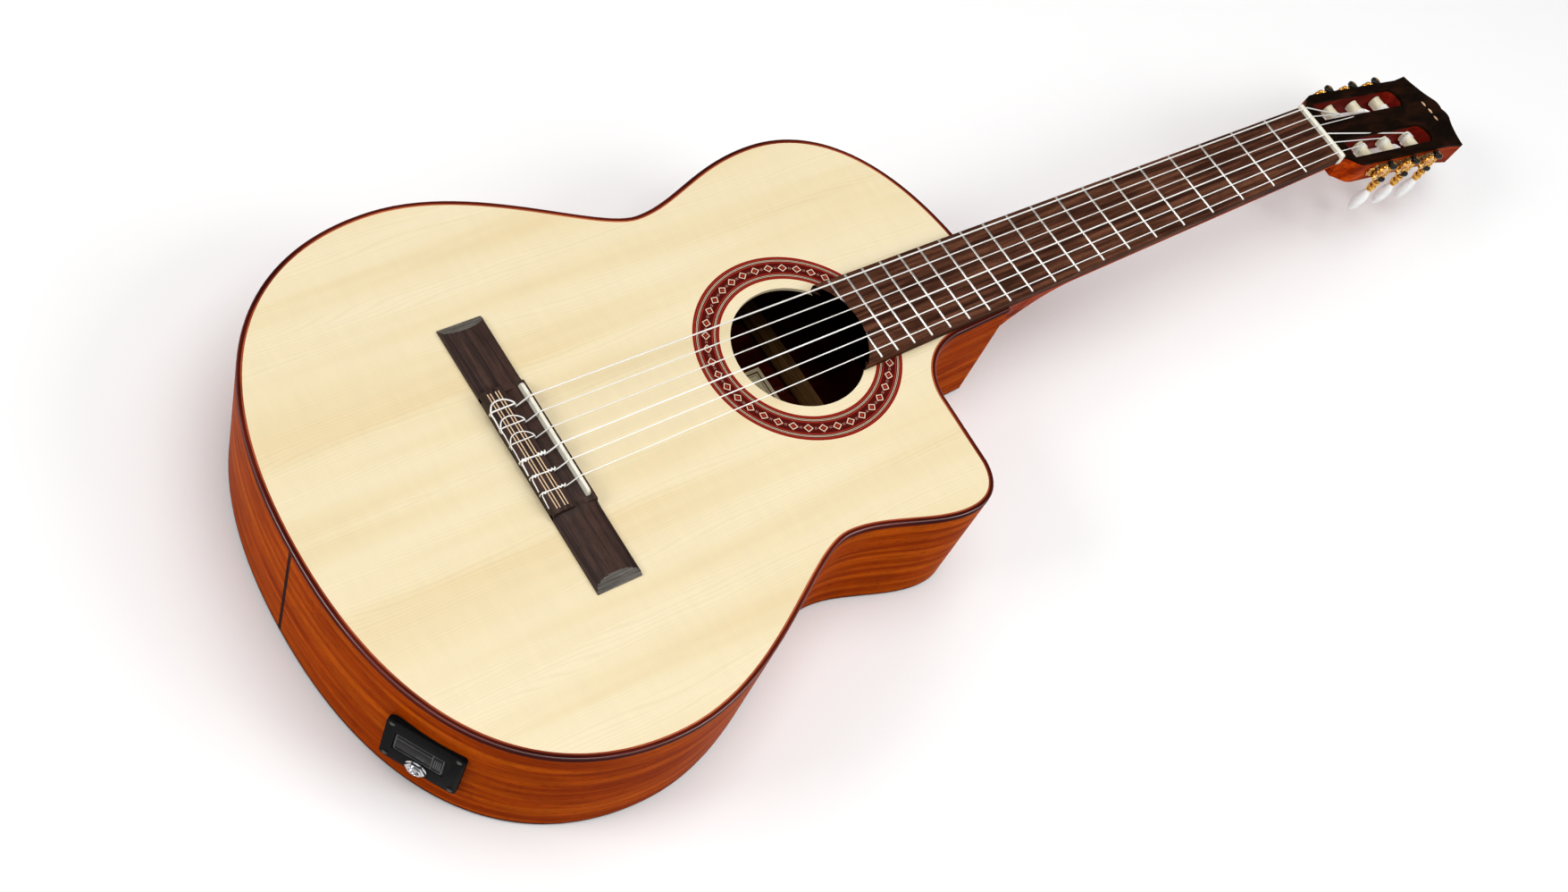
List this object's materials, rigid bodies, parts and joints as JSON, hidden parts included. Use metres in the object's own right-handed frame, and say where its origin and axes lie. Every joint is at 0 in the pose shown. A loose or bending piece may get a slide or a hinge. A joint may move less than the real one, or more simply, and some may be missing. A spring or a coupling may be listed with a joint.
{
  "type": "classical guitar",
  "caption": "Full-size nylon-string acoustic guitar with a cutaway body, slotted headstock, tie-block bridge, working tuning machines and a built-in pickup system.",
  "frame": {"origin": "on the back's outer face, on the centre line, straight under the saddle line", "axes": "+Y along the strings towards the headstock, +Z from the back out through the soundboard, +X to the treble side, where the cutaway is"},
  "size_m": [0.372, 0.9942, 0.1104],
  "materials": {
    "spruce": "gloss lacquer",
    "mahogany": "gloss lacquer",
    "inner_wood": "bare",
    "dark_trim": "gloss",
    "rosewood": "oiled",
    "ebony_veneer": "gloss lacquer",
    "bone": "satin",
    "button_pearl": "gloss",
    "nylon": "gloss",
    "wound_silver": "satin",
    "nickel": "polished",
    "gold": "polished",
    "black_plastic": "gloss",
    "steel": "satin",
    "paper": "matte",
    "mosaic": "gloss lacquer"
  },
  "bodies": {
    "guitar": {"soundboard": "spruce", "rosette": "mosaic", "back_plate": "mahogany", "treble_rib": "mahogany", "bass_rib": "mahogany", "top_binding": "dark_trim", "back_binding": "dark_trim", "tail_graft": "dark_trim", "neck_block": "inner_wood", "tail_block": "inner_wood", "top_lining": "inner_wood", "back_lining": "inner_wood", "soundboard_braces": "inner_wood", "back_braces": "inner_wood", "label": "paper", "neck_shaft": "mahogany", "heel_cap": "dark_trim", "fingerboard": "rosewood", "fret_set": "nickel", "nut": "bone", "truss_rod": "steel", "headstock": "mahogany", "head_veneer": "ebony_veneer", "tuner_plate_treble": "gold", "tuner_plate_bass": "gold", "bridge": "rosewood", "pickup_strip": "steel", "saddle": "bone", "string_6_e_low": "wound_silver", "string_5_a": "wound_silver", "string_4_d": "wound_silver", "string_3_g": "nylon", "string_2_b": "nylon", "string_1_e": "nylon", "output_plate": "black_plastic", "jack_socket": "nickel", "battery_box": "black_plastic", "battery": "steel", "preamp_panel": "black_plastic", "preamp_box": "black_plastic"},
    "roller_treble_1": {"roller_treble_1": "bone"},
    "tuner_button_treble_1": {"tuner_button_treble_1": "button_pearl"},
    "roller_treble_2": {"roller_treble_2": "bone"},
    "tuner_button_treble_2": {"tuner_button_treble_2": "button_pearl"},
    "roller_treble_3": {"roller_treble_3": "bone"},
    "tuner_button_treble_3": {"tuner_button_treble_3": "button_pearl"},
    "roller_bass_1": {"roller_bass_1": "bone"},
    "tuner_button_bass_1": {"tuner_button_bass_1": "button_pearl"},
    "roller_bass_2": {"roller_bass_2": "bone"},
    "tuner_button_bass_2": {"tuner_button_bass_2": "button_pearl"},
    "roller_bass_3": {"roller_bass_3": "bone"},
    "tuner_button_bass_3": {"tuner_button_bass_3": "button_pearl"},
    "battery_door": {"battery_door": "black_plastic"},
    "volume_knob": {"volume_knob": "black_plastic"},
    "bass_knob": {"bass_knob": "black_plastic"},
    "treble_knob": {"treble_knob": "black_plastic"},
    "tuner_push_button": {"tuner_push_button": "black_plastic"},
    "truss_nut": {"truss_nut": "steel"}
  },
  "joints": [
    {"name": "tuner_treble_1_turn", "type": "hinge", "parent": "guitar", "child": "tuner_button_treble_1", "pos_m": [0.0387, 0.70945, 0.07969], "axis": [0, 0.2419, 0.9703], "continuous": true},
    {"name": "roller_treble_1_turn", "type": "hinge", "parent": "guitar", "child": "roller_treble_1", "pos_m": [0, 0.69994, 0.08206], "axis": [1, 0, 0], "continuous": true},
    {"name": "tuner_treble_2_turn", "type": "hinge", "parent": "guitar", "child": "tuner_button_treble_2", "pos_m": [0.0387, 0.74341, 0.07123], "axis": [0, 0.2419, 0.9703], "continuous": true},
    {"name": "roller_treble_2_turn", "type": "hinge", "parent": "guitar", "child": "roller_treble_2", "pos_m": [0, 0.7339, 0.0736], "axis": [1, 0, 0], "continuous": true},
    {"name": "tuner_treble_3_turn", "type": "hinge", "parent": "guitar", "child": "tuner_button_treble_3", "pos_m": [0.0387, 0.77737, 0.06276], "axis": [0, 0.2419, 0.9703], "continuous": true},
    {"name": "roller_treble_3_turn", "type": "hinge", "parent": "guitar", "child": "roller_treble_3", "pos_m": [0, 0.76786, 0.06513], "axis": [1, 0, 0], "continuous": true},
    {"name": "tuner_bass_1_turn", "type": "hinge", "parent": "guitar", "child": "tuner_button_bass_1", "pos_m": [-0.0387, 0.70945, 0.07969], "axis": [0, 0.2419, 0.9703], "continuous": true},
    {"name": "roller_bass_1_turn", "type": "hinge", "parent": "guitar", "child": "roller_bass_1", "pos_m": [0, 0.69994, 0.08206], "axis": [1, 0, 0], "continuous": true},
    {"name": "tuner_bass_2_turn", "type": "hinge", "parent": "guitar", "child": "tuner_button_bass_2", "pos_m": [-0.0387, 0.74341, 0.07123], "axis": [0, 0.2419, 0.9703], "continuous": true},
    {"name": "roller_bass_2_turn", "type": "hinge", "parent": "guitar", "child": "roller_bass_2", "pos_m": [0, 0.7339, 0.0736], "axis": [1, 0, 0], "continuous": true},
    {"name": "tuner_bass_3_turn", "type": "hinge", "parent": "guitar", "child": "tuner_button_bass_3", "pos_m": [-0.0387, 0.77737, 0.06276], "axis": [0, 0.2419, 0.9703], "continuous": true},
    {"name": "roller_bass_3_turn", "type": "hinge", "parent": "guitar", "child": "roller_bass_3", "pos_m": [0, 0.76786, 0.06513], "axis": [1, 0, 0], "continuous": true},
    {"name": "battery_door_hinge", "type": "hinge", "parent": "guitar", "child": "battery_door", "pos_m": [0.10348, -0.14897, 0.0455], "axis": [0, 0, -1], "range_deg": [0, 110]},
    {"name": "volume_knob_turn", "type": "hinge", "parent": "guitar", "child": "volume_knob", "pos_m": [-0.14646, 0.21417, 0.053], "axis": [-0.9661, -0.2581, 0], "range_deg": [-140, 140]},
    {"name": "bass_knob_turn", "type": "hinge", "parent": "guitar", "child": "bass_knob", "pos_m": [-0.14233, 0.19872, 0.053], "axis": [-0.9661, -0.2581, 0], "range_deg": [-140, 140]},
    {"name": "treble_knob_turn", "type": "hinge", "parent": "guitar", "child": "treble_knob", "pos_m": [-0.1382, 0.18326, 0.053], "axis": [-0.9661, -0.2581, 0], "range_deg": [-140, 140]},
    {"name": "tuner_push_button_press", "type": "slide", "parent": "guitar", "child": "tuner_push_button", "axis": [0.9661, 0.2581, 0], "range_m": [0, 0.001], "stiffness_N_per_m": 400},
    {"name": "truss_nut_turn", "type": "hinge", "parent": "guitar", "child": "truss_nut", "pos_m": [0, 0.278, 0.0915], "axis": [0, 1, 0], "range_deg": [-180, 180]}
  ],
  "couplings": [
    {"joint": "roller_treble_1_turn", "follows": "tuner_treble_1_turn", "ratio": 0.071429},
    {"joint": "roller_treble_2_turn", "follows": "tuner_treble_2_turn", "ratio": 0.071429},
    {"joint": "roller_treble_3_turn", "follows": "tuner_treble_3_turn", "ratio": 0.071429},
    {"joint": "roller_bass_1_turn", "follows": "tuner_bass_1_turn", "ratio": -0.071429},
    {"joint": "roller_bass_2_turn", "follows": "tuner_bass_2_turn", "ratio": -0.071429},
    {"joint": "roller_bass_3_turn", "follows": "tuner_bass_3_turn", "ratio": -0.071429}
  ]
}
